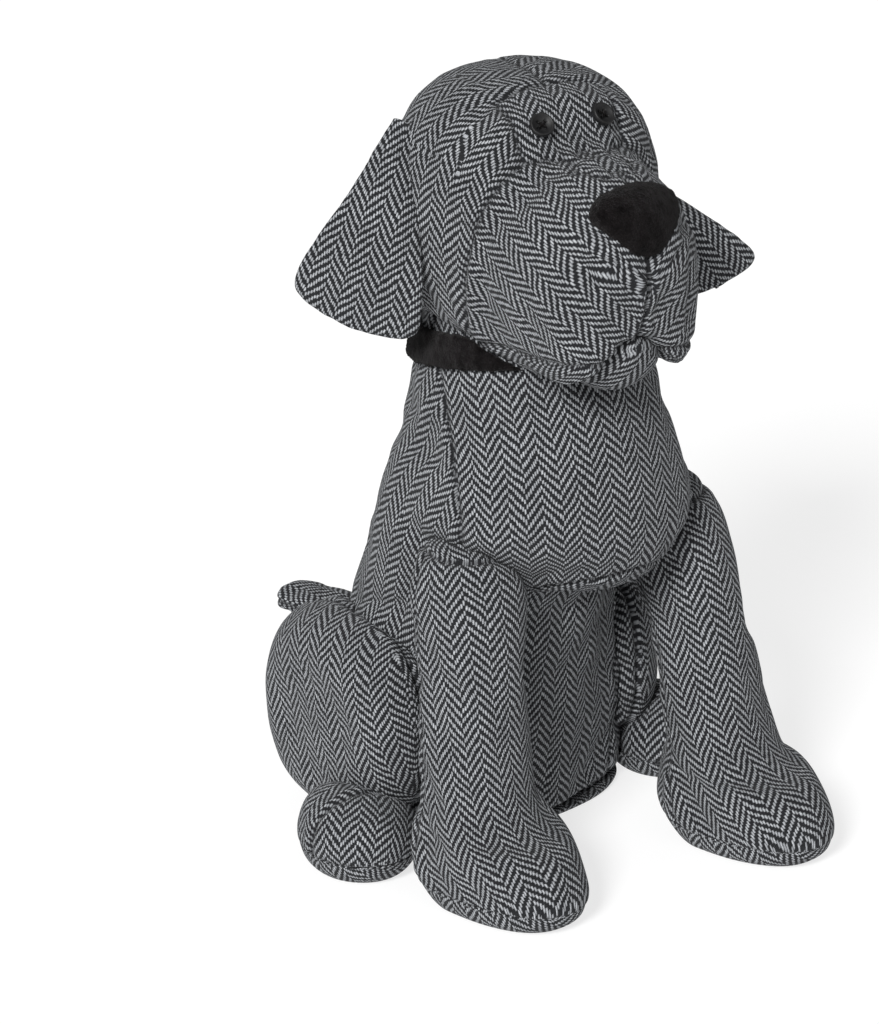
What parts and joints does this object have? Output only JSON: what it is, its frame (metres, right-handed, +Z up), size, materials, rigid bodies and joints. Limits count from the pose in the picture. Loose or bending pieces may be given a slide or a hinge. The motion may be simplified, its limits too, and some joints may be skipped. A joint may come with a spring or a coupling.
{
  "type": "weighted fabric door stop",
  "caption": "Stuffed, sand-weighted door stop shaped as a sitting dog, sewn from grey herringbone tweed with black plush trim.",
  "frame": {"origin": "middle of the underside of the base panel, on the floor", "axes": "+Z up, -Y the way the dog faces, +X the dog's left side"},
  "size_m": [0.182, 0.2299, 0.2835],
  "materials": {
    "tweed": "matte",
    "black_plush": "matte",
    "button_plastic": "satin",
    "calico": "matte"
  },
  "bodies": {
    "root": {"torso": "tweed", "ballast_bag": "calico", "base_panel": "tweed", "front_leg_right": "tweed", "front_sole_right": "tweed", "front_leg_left": "tweed", "front_sole_left": "tweed", "thigh_right": "tweed", "hind_paw_right": "tweed", "hind_sole_right": "tweed", "thigh_left": "tweed", "hind_paw_left": "tweed", "hind_sole_left": "tweed", "tail": "tweed", "head": "tweed", "collar": "black_plush", "chin": "tweed", "nose": "black_plush", "eye_right": "button_plastic", "eye_left": "button_plastic", "ear_right": "tweed", "ear_left": "tweed"}
  },
  "joints": []
}
